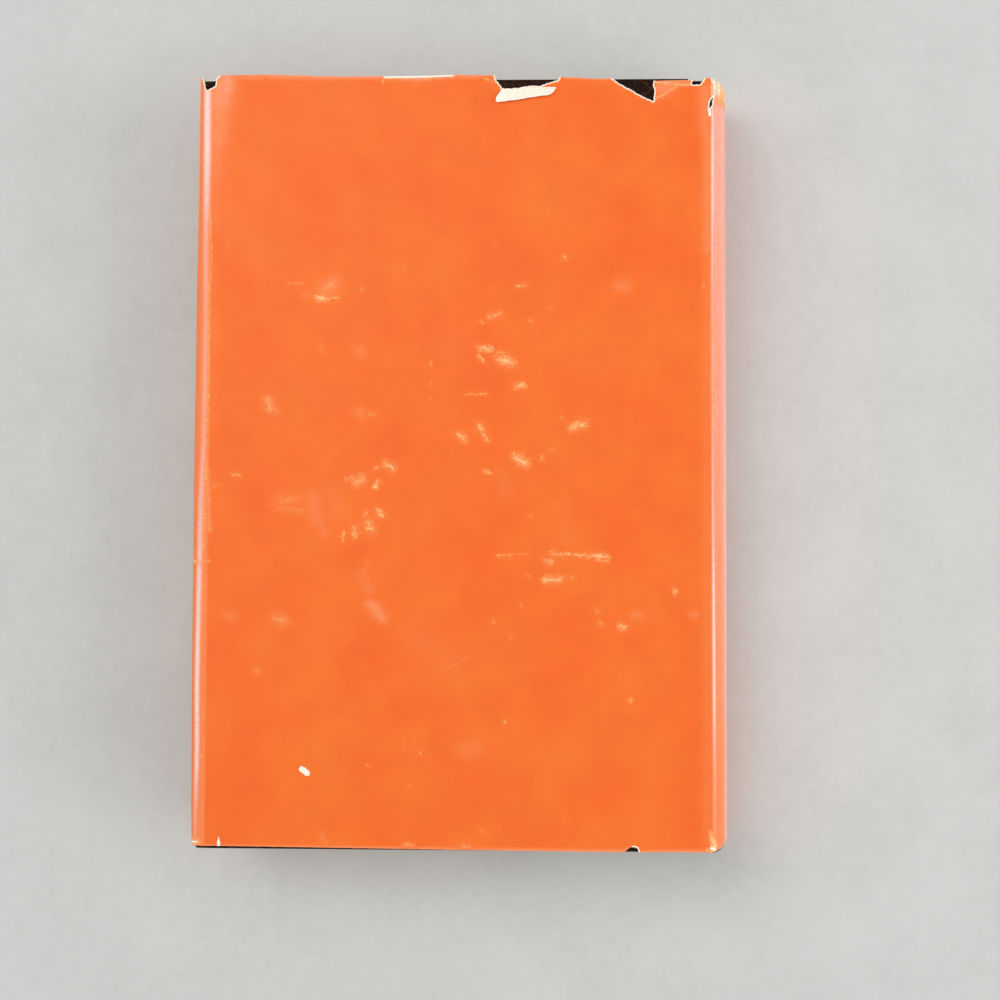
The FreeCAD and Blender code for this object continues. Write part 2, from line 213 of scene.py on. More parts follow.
def makeBookCloth():
    # Starched woven book cloth, dark brown: a fine plain weave with paler threads where it has rubbed
    p = bookCloth
    material, tree, shader = startMaterial("starchedBookCloth", 0.85, specular=0.12)
    place = addNode(tree, "ShaderNodeTexCoord").outputs["Object"]
    waveScale = math.tau / 20 / (p["threadPitch"] * mm)
    warp = addNode(tree, "ShaderNodeTexWave", {"Vector": place, "Scale": waveScale, "Distortion": 0.6, "Detail": 1.0}, bands_direction="X").outputs["Fac"]
    weft = addNode(tree, "ShaderNodeTexWave", {"Vector": place, "Scale": waveScale, "Distortion": 0.6, "Detail": 1.0}, bands_direction="Y").outputs["Fac"]
    weave = addNode(tree, "ShaderNodeMath", {0: warp, 1: weft}, operation="MULTIPLY").outputs[0]
    specks = addNode(tree, "ShaderNodeTexNoise", {"Vector": place, "Scale": 1 / (p["speckSize"] * mm), "Detail": 6.0, "Roughness": 0.75}).outputs["Fac"]
    threads = addNode(tree, "ShaderNodeMapRange", {"Value": weave, "From Min": 0.1, "From Max": 0.9, "To Max": 0.7}).outputs[0]
    colour = mixColours(tree, threads, linear(p["dark"]), linear(p["thread"]))
    worn = addNode(tree, "ShaderNodeMapRange", {"Value": specks, "From Min": 0.53, "From Max": 0.75, "To Max": 0.75}).outputs[0]
    colour = mixColours(tree, worn, colour, linear(p["speck"]))
    tree.links.new(colour, shader.inputs["Base Color"])
    bump = addNode(tree, "ShaderNodeBump", {"Height": weave, "Strength": 0.6, "Distance": 0.08 * mm})
    tree.links.new(bump.outputs[0], shader.inputs["Normal"])
    return material


def makePlainStock(name, base, shade, grain, roughness=0.85, stretch=(1, 1, 1), bumpDepth=0.05):
    # Any pulp sheet or board: a matt base, cloudy with its pulp, with grain of the given size
    material, tree, shader = startMaterial(name, roughness, specular=0.25)
    place = addNode(tree, "ShaderNodeTexCoord").outputs["Object"]
    placed = addNode(tree, "ShaderNodeMapping", {"Vector": place, "Scale": stretch}).outputs[0]
    pulp = addNode(tree, "ShaderNodeTexNoise", {"Vector": placed, "Scale": 1 / (grain * mm), "Detail": 5.0, "Roughness": 0.65}).outputs["Fac"]
    clouds = addNode(tree, "ShaderNodeTexNoise", {"Vector": place, "Scale": 1 / (30 * mm), "Detail": 2.0}).outputs["Fac"]
    both = addNode(tree, "ShaderNodeMath", {0: pulp, 1: clouds}, operation="MULTIPLY").outputs[0]
    share = addNode(tree, "ShaderNodeMapRange", {"Value": both, "From Min": 0.14, "From Max": 0.36}).outputs[0]
    tree.links.new(mixColours(tree, share, linear(base), linear(shade)), shader.inputs["Base Color"])
    bump = addNode(tree, "ShaderNodeBump", {"Height": pulp, "Strength": 0.4, "Distance": bumpDepth * mm})
    tree.links.new(bump.outputs[0], shader.inputs["Normal"])
    return material


def makeBandThread(base, stripe):
    # Sewn silk band: soft sheen, colour laid on by the stitches' own stripe
    material, tree, shader = startMaterial("bandSilkThread", 0.55, specular=0.4)
    band = addNode(tree, "ShaderNodeAttribute", attribute_name="stripe").outputs["Fac"]
    tree.links.new(mixColours(tree, band, linear(base), linear(stripe)), shader.inputs["Base Color"])
    shader.inputs["Sheen Weight"].default_value = 0.3
    return material


jacketPaper = makeJacketPaper()
jacketBack = makeBarePaper()
caseClothStuff = makeBookCloth()
endpaperStock = makePlainStock("endpaperCartridge", "#f3ead6", "#ede2cb", 0.9)
pageStock = makePlainStock("bookPagesTrimmed", "#efe3c9", "#e0d1af", 0.16, stretch=(0.06, 0.06, 1), bumpDepth=0.08)
greyBoard = makePlainStock("greyBoard", "#a39a8c", "#8b8172", 0.8, bumpDepth=0.1)
kraftStock = makePlainStock("kraftPaper", "#b98d5d", "#a37746", 0.7)
mullGauze = makePlainStock("mullGauze", "#e5ddcb", "#cfc3a8", 0.6, bumpDepth=0.15)
bandThread = makeBandThread("#efe6d2", "#8c3b2a")


# The camera, and where a point of the photograph lies on the book

cameraPlace = Vector(photoView["place"])
cameraTurn = Euler([math.radians(angle) for angle in photoView["turn"]], "XYZ")
cameraAxes = cameraTurn.to_matrix()


def sightLine(pixel):
    reach = photoView["sensor"] / photoView["lens"] / photoView["pixels"]
    half = photoView["pixels"] / 2
    return cameraAxes @ Vector(((pixel[0] - half) * reach, (half - pixel[1]) * reach, -1.0))


# The jacket's section: flap, fore-edge fold, panel, ridge and half the spine, as (x, height above the middle)

jacket = {
    "thick": 0.2,
    "flapEnd": jacketLow[0] + 85.0,
    "flapDepth": 3.5,  # middle of the flap below the cover's face
    "foldDrop": 1.8,
    "foldRound": 0.55,
    "edgeDrop": 0.28,  # how far the paper has sunk where it passes over the board's edge
    "bendRun": 2.4,  # and how far in from there it has begun to sink
    "ridgeRound": 0.9,
    "bow": ((-104, -99, -66, -10, 46, 96, 108), (0.05, 0.17, 0.42, 0.5, 0.28, 0.08, 0.0)),  # how far the fold stands out along y
}
faceHeight = middle - 0.1  # middle of the panel's paper
spineRise = jacketSpineHigh[0] - 0.1 - shoulder


def roundedPath(corners):
    # Corners are (x, height, how far the rounding starts from the corner)
    path = [corners[0][:2]]
    for before, (x, h, start), after in zip(corners, corners[1:], corners[2:]):
        here = Vector((x, h))
        into = (Vector(before[:2]) - here).normalized() * start + here
        away = (Vector(after[:2]) - here).normalized() * start + here
        for step in range(9):
            t = step / 8
            path.append(tuple(into * (1 - t) ** 2 + here * 2 * t * (1 - t) + away * t ** 2))
    return path + [corners[-1][:2]]


def spineArc(rise, height, start, steps=24):
    # Half of the rounded back, from the shoulder down to the book's middle
    radius = (height ** 2 + rise ** 2) / (2 * rise)
    first = math.asin(height / radius)
    angles = [first * (1 - step / steps) for step in range(steps + 1)]
    return [(start + rise - radius + radius * math.cos(a), radius * math.sin(a)) for a in angles]


def jacketSection():
    j = jacket
    flapHeight = middle - j["flapDepth"]
    arc = spineArc(spineRise, faceHeight, shoulder)
    crest = (jacketLow[0] + 0.1, middle - j["foldDrop"])
    corners = [
        (j["flapEnd"], flapHeight, 0),
        (clothLow[0] + 0.4, flapHeight, 0.8),
        (*crest, j["foldRound"]),
        (clothLow[0] + 0.2, middle - j["edgeDrop"], 0.45),
        (clothLow[0] + j["bendRun"], faceHeight, 0.7),
        (*arc[0], j["ridgeRound"]),
        (*arc[2], 0.05),
    ]
    return roundedPath(corners) + arc[3:]


sectionPath = np.array(jacketSection())
stepLengths = np.hypot(*np.diff(sectionPath, axis=0).T)
sectionLength = np.concatenate([[0], np.cumsum(stepLengths)])
crestIndex = int(np.argmin(sectionPath[:, 0]))
crestLength = sectionLength[crestIndex]
ridgeLength = sectionLength[np.argmin(np.hypot(sectionPath[:, 0] - shoulder, sectionPath[:, 1] - faceHeight))]
wholeLength = sectionLength[-1]
directions = np.gradient(sectionPath, sectionLength, axis=0)
directions /= np.linalg.norm(directions, axis=1)[:, None]
edgeLength = np.interp(clothLow[0] + jacket["bendRun"], sectionPath[crestIndex:, 0], sectionLength[crestIndex:])


def onSheet(pixel):
    # The point of the jacket that this pixel shows, as (length along the section, y)
    ray = sightLine(pixel)
    seen = slice(crestIndex, None)
    reach = (middle + sectionPath[seen, 1] - cameraPlace.z) / ray.z
    gap = cameraPlace.x + ray.x * reach - sectionPath[seen, 0]
    past = np.nonzero(gap <= 0)[0]
    after = int(past[0]) if len(past) else len(gap) - 1
    before = max(after - 1, 0)
    share = 0.0 if after == before else gap[before] / (gap[before] - gap[after] + 1e-12)
    share = min(max(share, 0.0), 1.0)
    length = sectionLength[seen][before] * (1 - share) + sectionLength[seen][after] * share
    far = reach[before] * (1 - share) + reach[after] * share
    return length, cameraPlace.y + ray.y * far


def crushed(y, low, high, amount=(0.22, 0.72), room=(2.2, 3.2)):
    # How far the spine's round is knocked in near its tail and head
    tail = np.clip((low + room[0] - y) / room[0], 0, 1)
    head = np.clip((y - high + room[1]) / room[1], 0, 1)
    return amount[0] * tail ** 2.2 + amount[1] * head ** 2.4


def placeSheet(lengths, ys, ripple=1.0):
    # Middle surface and outward direction of the folded sheet, heights above the book's middle
    x = np.interp(lengths, sectionLength, sectionPath[:, 0])
    h = np.interp(lengths, sectionLength, sectionPath[:, 1])
    dx = np.interp(lengths, sectionLength, directions[:, 0])
    dh = np.interp(lengths, sectionLength, directions[:, 1])
    size = np.hypot(dx, dh)
    normal = np.stack([-dh / size, np.zeros_like(x), dx / size], axis=1)
    onSpine = lengths > ridgeLength
    x = np.where(onSpine, shoulder + (x - shoulder) * (1 - crushed(ys, jacketLow[1], jacketHigh[1])), x)
    x = x - ripple * np.interp(ys, *jacket["bow"]) * np.clip(1.15 - np.abs(lengths - crestLength) / 4, 0, 1)
    onPanel = np.clip((lengths - edgeLength) / 8, 0, 1) * np.clip((ridgeLength - 9 - lengths) / 8, 0, 1)
    waves = np.sin(ys / 23.0 + lengths / 31.0) * 0.5 + np.sin(ys / 11.0 - lengths / 17.0 + 1.3) * 0.3
    h = h + ripple * onPanel * 0.05 * (waves - 0.4)
    onBand = np.clip(1 - np.abs(lengths - (crestLength + edgeLength) / 2) / 2.4, 0, 1)
    h = h + ripple * onBand * 0.10 * np.sin(ys / 9.0 + 0.7) + ripple * onBand * 0.05 * np.sin(ys / 3.7)
    return x, h, normal


# The torn outline, the wear and the painted highlights. Pixels are of the photograph's 1000 by 1000 frame.

tornEdges = {
    "corner": [(219.3, 76.0), (216.2, 79.2), (215.7, 85.9), (210.8, 88.6), (206.8, 90.8), (204.0, 81.4), (202.4, 77.2)],
    "firstTear": [(559.6, 76.9), (558.2, 80.2), (554.4, 81.0), (546.0, 84.0), (538.6, 86.4), (528.0, 86.2),
                  (517.0, 88.4), (508.0, 88.6), (502.0, 88.8), (500.4, 85.6), (496.8, 81.6), (495.4, 78.0), (494.4, 75.4)],
    "secondTear": [(653.5, 80.9), (653.2, 87.0), (654.6, 92.0), (653.4, 101.6), (640.0, 95.2), (632.0, 90.8), (622.0, 85.2), (611.6, 78.6)],
    "spineGap": [(704.5, 78.4), (702.4, 81.8), (699.6, 84.8), (693.2, 85.0), (691.4, 84.0), (692.2, 80.2)],
    "ridgeSlit": [(713.6, 78.6), (712.7, 83.0), (711.9, 78.2)],
    "tailNotch": [(624.9, 852.2), (628.9, 847.9), (634.6, 846.9), (637.1, 847.8), (639.2, 852.2)],
}
headEdge = {
    "left": [(454.0, 75.0), (400.0, 76.3), (334.0, 76.6), (271.0, 74.7), (225.0, 75.4)],
    "betweenTears": [(600.0, 78.8)],
    "right": [(673.0, 80.4)],
}
tailEdge = {
    "left": [(192.8, 844.7), (340.0, 847.8), (460.0, 849.9), (560.0, 851.3)],
    "right": [(660.0, 852.2), (708.0, 852.4)],
}
slitHole = [(712.8, 96.7), (713.0, 99.6), (711.9, 101.7), (712.4, 104.0), (711.2, 106.6), (708.9, 109.0),
            (709.3, 105.2), (710.3, 100.6)]
foldedPiece = [(501.8, 89.4), (512.0, 89.0), (520.3, 88.0), (538.6, 87.2), (556.4, 87.2), (554.0, 92.0), (550.5, 95.2),
               (531.5, 97.9), (515.0, 100.6), (497.6, 102.9), (495.8, 101.6), (496.4, 97.6), (500.6, 91.6)]

# Rubs and hazes: from x, y to x, y, half width, how far through the ink, how faded
rubs = [
    (317, 297, 324, 299, 1.6, 1.0, .3), (324, 299, 338, 297.5, 1.2, .75, .2), (325, 290, 333, 284, 4.2, .35, .45),
    (288, 283, 302, 283.3, 0.7, .45, .2), (299, 284.5, 302, 284, 1.2, .4, .2), (362, 289, 362.6, 289, 1.4, .5, .3),
    (306, 295, 309, 295, 2.2, .25, .3), (268, 400, 270, 408, 2.6, .55, .5), (268, 403, 269, 406, 1.2, .5, .2),
    (273, 408, 276, 411, 1.8, .25, .4), (321.5, 345, 322, 352, 1.0, .3, .3), (352.5, 345, 353, 350, 1.0, .25, .2),
    (360, 350, 362, 353, 3.0, .2, .3), (358, 411, 362, 414, 3.0, .25, .3), (369, 414.6, 375, 414.6, 1.2, .5, .2),
    (232, 474.5, 240, 474.8, 1.2, .5, .3), (213.8, 485.3, 219, 485.3, 1.1, .4, .3),
    (346, 479.5, 352, 478.6, 1.2, .75, .3), (356, 482, 362, 479, 3.0, .7, .4), (357, 478, 363, 482, 1.2, .5, .2),
    (375.5, 486.5, 377, 480.5, 1.3, .85, .3), (373.5, 487, 377, 487.3, 1.3, .8, .3), (386, 464, 393, 467.5, 2.0, .85, .4),
    (375, 468.5, 378, 467, 1.4, .45, .3), (376.5, 509.5, 381, 512, 1.6, .7, .3), (380, 514, 383, 515.5, 1.5, .8, .3),
    (365.3, 513.4, 366.4, 513.4, 1.7, .7, .3), (366, 528.5, 373.5, 528.5, 1.0, 1.0, .2), (368, 523, 372, 530, 3.4, .5, .3),
    (354.5, 528, 355.5, 537, 1.5, .8, .3), (352, 534, 359, 534, 1.4, .6, .2), (343.6, 531, 343.4, 541, 1.0, .6, .2),
    (281, 501, 297, 499, 4.0, .3, .3), (280, 508, 303, 511, 2.2, .25, .3), (272, 504, 278, 501, 2.0, .2, .2),
    (313, 497, 316, 520, 4.6, .05, .34), (319, 514, 324, 534, 3.0, .05, .3), (332, 496, 338, 510, 6.0, .05, .24),
    (362, 575, 368, 590, 4.0, .05, .28), (371, 605, 382, 617, 3.2, .12, .5), (368, 560, 362, 582, 1.6, .1, .25),
    (276, 619, 285, 620, 3.0, .4, .4), (278, 616, 279, 623, 1.2, .3, .2), (229, 616, 233, 617, 3.0, .1, .3),
    (255, 671, 257, 671, 2.0, .3, .3), (430.5, 362, 430.5, 366, .9, .5, .2), (430.5, 381, 430.5, 384, .9, .5, .2),
    (430.5, 397, 430.5, 401, .9, .4, .2), (516.5, 286, 526.7, 286, 1.2, .55, .2), (565, 256.5, 565.3, 258.6, 1.3, .7, .3),
    (494.8, 245, 495, 246, 1.2, .35, .2), (489, 317, 500, 313, 1.9, .6, .3), (481.5, 321.6, 483, 322.4, 1.4, .45, .3),
    (481, 347.5, 491.5, 349.5, 1.8, .95, .3), (478.5, 356, 483.5, 361, 1.3, .7, .3), (499.5, 358, 510.5, 362.5, 2.8, .95, .4),
    (516.5, 385.5, 523.5, 385, 1.8, .85, .3), (464, 394.5, 487, 393.5, 1.0, .45, .2), (530.4, 320.6, 531, 321.4, 1.4, .5, .2),
    (535.6, 330, 536, 330.4, 1.2, .3, .2), (551, 308, 551.5, 308.4, 1.4, .45, .2), (562, 417.5, 562.4, 418.5, 1.4, .5, .2),
    (618, 286, 626, 286, 3.4, .1, .35), (458, 434.5, 465.5, 439.6, 1.9, .75, .3), (479, 424, 482, 430, 1.6, .75, .3),
    (483, 434, 487, 440, 1.6, .7, .3), (516, 457.5, 526, 463, 2.4, 1.0, .4), (520.5, 461, 524, 463, 1.8, .6, .3),
    (541.6, 455.6, 542, 458.5, 1.4, .75, .3), (552.3, 450, 552.8, 451, 1.3, .4, .2), (484, 471, 491, 472.4, 1.0, .8, .2),
    (572, 427.5, 583.5, 425, 2.3, .95, .4), (560.6, 417, 561.4, 419, 1.2, .5, .2),
    (497, 555.6, 512, 554.2, .7, .7, .2), (512, 554.2, 527, 554, .6, .4, .2), (551, 553, 555, 554, 1.4, .8, .3),
    (555, 554, 570, 554.2, 1.1, .75, .2), (575, 554.8, 596, 555.6, .9, .85, .2), (596, 556.4, 606, 557.6, 1.9, .95, .4),
    (546, 560.6, 551, 562.6, 1.7, .85, .3), (545, 579.5, 560, 579.5, 2.0, .9, .4), (529.3, 575.6, 529.8, 576.4, 1.2, .4, .2),
    (571.3, 577.4, 572, 577.8, 1.5, .6, .3), (529.4, 515, 530.4, 515, 1.1, .4, .2), (520.7, 604.6, 521.3, 605.4, 1.3, .5, .2),
    (597.3, 610.6, 598, 611.4, 1.5, .6, .3), (600.4, 623, 601, 624, 1.4, .55, .3), (620.6, 626.5, 623, 627.4, 1.8, .95, .4),
    (635, 615.6, 640, 615.6, 2.8, .15, .35), (674.2, 590.2, 675, 591, 1.5, .9, .3), (493.2, 621.6, 494, 622.4, 1.3, .5, .2),
    (511, 636.4, 512, 637.4, 1.3, .45, .2), (440, 671, 468, 658, 1.0, .28, .2), (630.4, 699.4, 631, 700.6, 1.4, .6, .2),
    (504.4, 721.4, 505, 722.6, 1.4, .55, .2), (465, 750, 475, 748, 4.6, .1, .3), (693.2, 613.4, 694, 614.4, 2.2, .2, .4),
    (404.2, 738, 404.4, 750, .8, .3, .2), (414.4, 738, 414.5, 750, .8, .25, .2), (420, 752, 420.6, 753, 1.3, .45, .2),
    (408.6, 784.6, 409.4, 785.4, 1.3, .5, .2), (367.6, 764.6, 368.4, 765.4, 1.3, .45, .2), (482, 830.6, 483, 831.4, 1.5, .5, .2),
    (704, 285, 704.6, 286, 1.3, .7, .2), (420, 640, 452, 662, 9.0, .0, .16), (450, 340, 452, 350, 9.0, .0, .12),
    (560, 505, 566, 540, 4.0, .0, .16), (500, 476, 506, 490, 5.0, .0, .2), (322, 835, 325, 843, 2.0, .3, .3),
    (405, 845, 413, 845.4, 1.6, .45, .3), (462, 846.4, 470, 846.6, 1.6, .4, .3), (221, 74, 220, 104, 6.0, .0, .6), (220, 108, 218, 140, 5.6, .0, .46),
    (227, 80, 227, 90, 4.2, .0, .66), (217, 142, 216, 176, 5.2, .0, .34), (216, 178, 215, 225, 5.0, .0, .24), (214, 108, 213, 200, 2.6, .0, .26), (233, 78, 262, 77, 1.2, .2, .42),
    (213.5, 210, 213, 420, 2.0, .0, .16), (224, 100, 228, 250, 4.0, .0, .14), (384, 76.6, 430, 77.2, 1.5, .6, .9),
    (430, 77.0, 454, 76.0, 1.1, .5, .9), (192, 840.4, 197.5, 840.8, 1.5, 1.0, .9), (193, 843.4, 195.5, 843.8, 1.2, 1.0, .9), (194, 561, 198, 561, 1.6, .9, .6),
    (198, 561, 209, 560.6, .7, .7, .4), (207, 470, 209.5, 530, 1.2, .35, .5), (655, 82, 690, 80.5, .6, .6, .8), (484, 77.8, 496, 83, .8, .5, .2),
    (655.4, 99.2, 677, 86, .6, .75, .9), (656, 82.4, 691, 85.2, .6, .8, .95), (658, 88, 668, 87, 4.0, .0, .5), (705, 90, 706, 130, 3.6, .0, .42), (707.5, 130, 707.6, 250, 3.0, .0, .42),
    (706.8, 250, 707.2, 840, 2.8, .0, .27), (712.6, 836, 713.6, 847, 1.7, 1.0, .5), (707.6, 850.4, 711, 850.0, 1.1, .8, .6),
    (709.6, 832, 710.2, 842, 1.1, .5, .4), (716.5, 846, 719.5, 842, 1.0, .6, .5),
    (383, 81, 383, 83, .7, .7, .2), (201.5, 755.6, 202.2, 756.6, 1.2, .8, .3), (206.2, 419, 206.8, 421, 1.4, .9, .3),
]
bareSpots = [  # paper showing through with a crisp edge
    (302.0, 769.2, 307.2, 773.0, 3.3), (218.6, 837.6, 218.6, 841.0, 0.7), (218.6, 841.6, 218.6, 845.8, 1.7),
    (709, 109, 709.8, 115, 1.5), (384.5, 77.4, 430, 76.6, 1.1), (430, 76.6, 453, 75.6, 0.9),
    (711.6, 848.2, 715.2, 849.4, 1.5), (191.0, 841.8, 196.8, 841.4, 0.9),
]
foldShine = [  # painted highlight along the fore-edge fold, on paper also worn pale there
    (207.6, 92, 3.9, .95), (207.4, 150, 3.8, .95), (207.0, 200, 3.4, .8), (206.4, 240, 2.8, .6), (206.4, 320, 2.6, .58),
    (204.6, 440, 2.6, .58), (201.8, 500, 3.0, .7), (199.6, 590, 2.8, .9), (197.8, 680, 2.6, 1.0), (197.2, 760, 2.6, .95),
    (195.4, 820, 2.2, .64), (195.0, 842, 2.2, .58),
]
creaseWear = [  # broken cream line where the jacket bends over the board's edge
    (210.8, 185, .35), (210.6, 215, .6), (211.9, 269, .5), (209.2, 290, .8), (209.0, 361, .75), (208.6, 420, .5),
    (208.2, 455, .45), (206.5, 470, .7), (205.0, 500, .8), (204.2, 545, .75), (203.6, 575, .45), (202.4, 650, .4), (201.8, 700, .2),
]
ridgeWearAndHighlight = [  # white line along the spine's ridge: rubbed paper and painted highlight
    (712.4, 110, 1.0, .9), (712.4, 160, 1.1, .95), (712.4, 200, 1.1, .92), (712.2, 300, 1.0, .64), (712.3, 400, 1.0, .56),
    (712.9, 520, 1.0, .72), (713.6, 600, 1.1, .98), (714.2, 700, 1.2, .95), (714.8, 770, 1.7, .5), (715.2, 845, 2.2, .36),
]


# Building a sheet: an outline on the flat, filled with triangles, folded into place and given its thickness

def walkLine(points, step, jag, chance):
    # Points along a line, pulled a little off it; the last corner is left for the next line
    walked = []
    for (s0, y0), (s1, y1) in zip(points, points[1:]):
        length = math.hypot(s1 - s0, y1 - y0)
        count = max(1, round(length / step))
        for i in range(count):
            t = i / count
            off = chance.uniform(-jag, jag) if i else 0.0
            walked.append((s0 + (s1 - s0) * t - (y1 - y0) / length * off, y0 + (y1 - y0) * t + (s1 - s0) / length * off))
    return walked


def insideLoop(points, loop):
    x, y = points[:, 0], points[:, 1]
    inside = np.zeros(len(points), bool)
    for (x0, y0), (x1, y1) in zip(loop, np.roll(loop, -1, axis=0)):
        if y0 == y1:
            continue
        crosses = (y0 > y) != (y1 > y)
        inside ^= crosses & (x < (x1 - x0) * (y - y0) / (y1 - y0) + x0)
    return inside


def fillSheet(outline, holes, inner):
    # Triangles over the outline that keep clear of the holes
    loops = [np.array(outline)] + [np.array(hole) for hole in holes]
    keep = insideLoop(inner, loops[0])
    for hole in loops[1:]:
        keep &= ~insideLoop(inner, hole)
    grid = {}
    for loop in loops:
        for point in loop:
            grid.setdefault((round(point[0] * 4), round(point[1] * 4)), 1)
    cells = np.round(inner * 4).astype(int)
    apart = np.array([tuple(cell) not in grid for cell in cells])
    inner = inner[keep & apart]
    points = np.concatenate(loops + [inner])
    edges, start = [], 0
    for loop in loops:
        edges += [(start + i, start + (i + 1) % len(loop)) for i in range(len(loop))]
        start += len(loop)
    made = geometry.delaunay_2d_cdt([Vector(p) for p in points], edges, [], 0, 1e-4)
    flat = np.array([tuple(p) for p in made[0]])
    triangles = np.array([face for face in made[2] if len(face) == 3])
    centres = flat[triangles].mean(axis=1)
    wanted = insideLoop(centres, loops[0])
    for hole in loops[1:]:
        wanted &= ~insideLoop(centres, hole)
    triangles = triangles[wanted]
    used = np.unique(triangles)
    renumber = np.full(len(flat), -1)
    renumber[used] = np.arange(len(used))
    return flat[used], renumber[triangles]


def rimEdges(triangles):
    # Edges with a triangle on one side only, in the order in which that triangle walks them
    count = {}
    for a, b, c in triangles.tolist():
        for edge in ((a, b), (b, c), (c, a)):
            key = (min(edge), max(edge))
            count[key] = None if key in count else edge
    return [edge for edge in count.values() if edge]


def makeMesh(name, points, faces, materials, faceMaterials=None, values=None, sharp=40):
    # One object from millimetre points; values are named numbers or vectors for each point
    mesh = bpy.data.meshes.new(name)
    mesh.from_pydata((np.asarray(points, float) * mm).tolist(), [], [list(face) for face in faces])
    for material in materials:
        mesh.materials.append(material)
    if faceMaterials is not None:
        mesh.polygons.foreach_set("material_index", np.asarray(faceMaterials, np.int32))
    for label, numbers in (values or {}).items():
        numbers = np.asarray(numbers, np.float32)
        kind = "FLOAT_VECTOR" if numbers.ndim == 2 else "FLOAT"
        mesh.attributes.new(label, kind, "POINT").data.foreach_set("vector" if numbers.ndim == 2 else "value", numbers.ravel())
    mesh.polygons.foreach_set("use_smooth", np.ones(len(faces), bool))
    mesh.set_sharp_from_angle(angle=math.radians(sharp))
    mesh.update()
    piece = bpy.data.objects.new(name, mesh)
    bpy.context.scene.collection.objects.link(piece)
    return piece


def sheetShell(x, y, h, normal, triangles, thick, side):
    # Outer and inner skins and the rim between them; side is 1 for the back and -1 for the front
    half = normal * thick / 2
    centre = np.stack([x, y, h], axis=1)
    points = np.concatenate([centre + half, centre - half])
    points[:, 2] = middle + side * points[:, 2]
    count = len(x)
    outer = triangles if side > 0 else triangles[:, ::-1]
    inner = outer[:, ::-1] + count
    rim = [(a, a + count, b + count, b) for a, b in rimEdges(outer)]
    faces = outer.tolist() + inner.tolist() + rim
    kinds = [0] * len(outer) + [1] * len(inner) + [2] * len(rim)
    return points, faces, kinds


def nearSegment(points, start, end):
    # Distance of each point from the segment
    start, end = np.array(start), np.array(end)
    line = end - start
    t = np.clip(((points - start) @ line) / max(line @ line, 1e-9), 0, 1)
    return np.hypot(*(points - start - t[:, None] * line).T)


pixelSize = 0.28  # mm on the panel


def wearValues(flat):
    # How rubbed, faded and torn each point of the back panel is
    rub = np.zeros(len(flat))
    fade = np.zeros(len(flat))
    drift = np.array([tuple(noise.noise_vector(Vector((s / 1.3, y / 1.3, 0.0))) * 0.6
                            + noise.noise_vector(Vector((s / 0.5, y / 0.5, 7.0))) * 0.28)[:2] for s, y in flat])
    for x0, y0, x1, y1, half, through, pale in rubs:
        size = half * pixelSize
        start, end = onSheet((x0, y0)), onSheet((x1, y1))
        near = nearSegment(flat + drift * min(1.0, 1.6 * size), start, end) / size
        rub = np.maximum(rub, through * np.maximum(0.95 * np.exp(-1.3 * near ** 2), 0.46 * np.exp(-0.13 * near ** 2)))
        fade = np.maximum(fade, 0.7 * pale * np.exp(-0.16 * near ** 2))
    return rub, fade


def alongLine(points, ys):
    # A worn line's place, width and strength at each y; points are (pixel x, pixel y, ...)
    sheet = [onSheet(point[:2]) for point in points]
    order = np.argsort([y for _, y in sheet])
    rows = np.array([[sheet[i][1], sheet[i][0], *points[i][2:]] for i in order])
    return [np.interp(ys, rows[:, 0], rows[:, k]) for k in range(1, rows.shape[1])]


def spineFade(lengths, ys):
    # The spine has faded to pink, and its rounded middle is drawn palest of all, except towards the head
    onSpine = np.clip((lengths - ridgeLength) / 0.7, 0, 1)
    base = np.interp(ys, [-98, -60, 20, 90], [.37, .47, .6, .72])
    base = base - 0.1 * np.exp(-((lengths - ridgeLength - 2.5) / 2.2) ** 2)
    vein = np.array([noise.noise(Vector((s / 0.8, y / 18.0, 5.0))) for s, y in zip(lengths, ys)])
    down = np.clip((72 - ys) / 66, 0, 1)
    middle = np.exp(-((wholeLength - lengths) / 6.2) ** 4) * down * down * (3 - 2 * down)
    return onSpine * (base + (0.97 - base) * np.clip(middle * (1 + 0.7 * vein), 0, 1) + 0.05 * vein)


